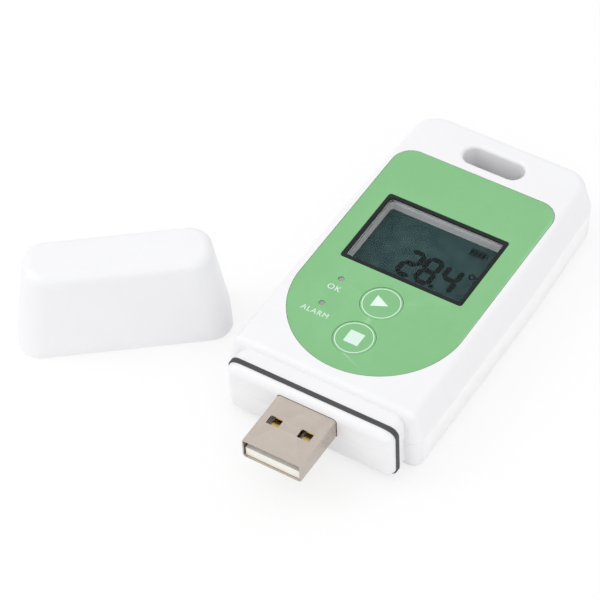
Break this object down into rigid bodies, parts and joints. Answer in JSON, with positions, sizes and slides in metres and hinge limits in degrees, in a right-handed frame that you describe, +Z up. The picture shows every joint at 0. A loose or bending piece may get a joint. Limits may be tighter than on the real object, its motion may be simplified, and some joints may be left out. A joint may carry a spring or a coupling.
{
  "type": "temperature data logger",
  "caption": "Pocket temperature logger with a display, start and stop keys, a plug at one end, a lanyard slot at the other and a loose cap.",
  "frame": {"origin": "middle of the casing's flat rest face, at the surface it lies on", "axes": "+Z up through the display, +Y towards the lanyard end, the plug points along -Y, +X to the display's right"},
  "size_m": [0.0825, 0.085, 0.019],
  "materials": {
    "white_plastic": "satin moulded",
    "green_film": "printed film",
    "dark_print": "printed film",
    "clear_window": "clear",
    "grey_plastic": "moulded",
    "display_glass": "display behind glass",
    "seal_rubber": "matte",
    "circuit_board": "solder mask",
    "black_plastic": "moulded",
    "cream_plastic": "moulded",
    "spring_steel": "rolled",
    "plug_steel": "nickel plated",
    "gold_contact": "gold flash"
  },
  "bodies": {
    "logger": {"front_shell": "white_plastic", "rear_shell": "white_plastic", "front_film": "green_film", "window_frame": "dark_print", "display_window": "clear_window", "lcd_holder": "grey_plastic", "lcd_panel": "display_glass", "contact_strips": "seal_rubber", "main_board": "circuit_board", "key_switches": "black_plastic", "switch_domes": "spring_steel", "ok_lamp": "cream_plastic", "alarm_lamp": "cream_plastic", "light_pipes": "clear_window", "processor": "black_plastic", "memory_chip": "black_plastic", "clock_crystal": "spring_steel", "temperature_sensor": "black_plastic", "board_capacitors": "cream_plastic", "plug_shell": "plug_steel", "plug_tongue": "cream_plastic", "plug_contacts": "gold_contact", "plug_block": "black_plastic", "nose_seal": "seal_rubber", "coin_cell": "plug_steel", "cell_side_clip": "gold_contact", "cell_spring": "spring_steel", "case_screws": "spring_steel"},
    "start_button": {"start_key": "green_film"},
    "stop_button": {"stop_key": "green_film"},
    "door": {"battery_door": "white_plastic", "door_seal": "seal_rubber"},
    "loose_cap": {"cap": "white_plastic"}
  },
  "joints": [
    {"name": "start_press", "type": "slide", "parent": "logger", "child": "start_button", "axis": [0, 0, -1], "range_m": [0, 0.00025], "stiffness_N_per_m": 400, "springref_m": -0.0002},
    {"name": "stop_press", "type": "slide", "parent": "logger", "child": "stop_button", "axis": [0, 0, -1], "range_m": [0, 0.00025], "stiffness_N_per_m": 400, "springref_m": -0.0002},
    {"name": "door_turn", "type": "hinge", "parent": "logger", "child": "door", "pos_m": [0, -0.0142, 0.0007], "axis": [0, 0, 1], "range_deg": [0, 45]},
    {"name": "cap_lift", "type": "slide", "parent": "logger", "child": "loose_cap", "axis": [0, 0, 1], "range_m": [0, 0.03]}
  ]
}
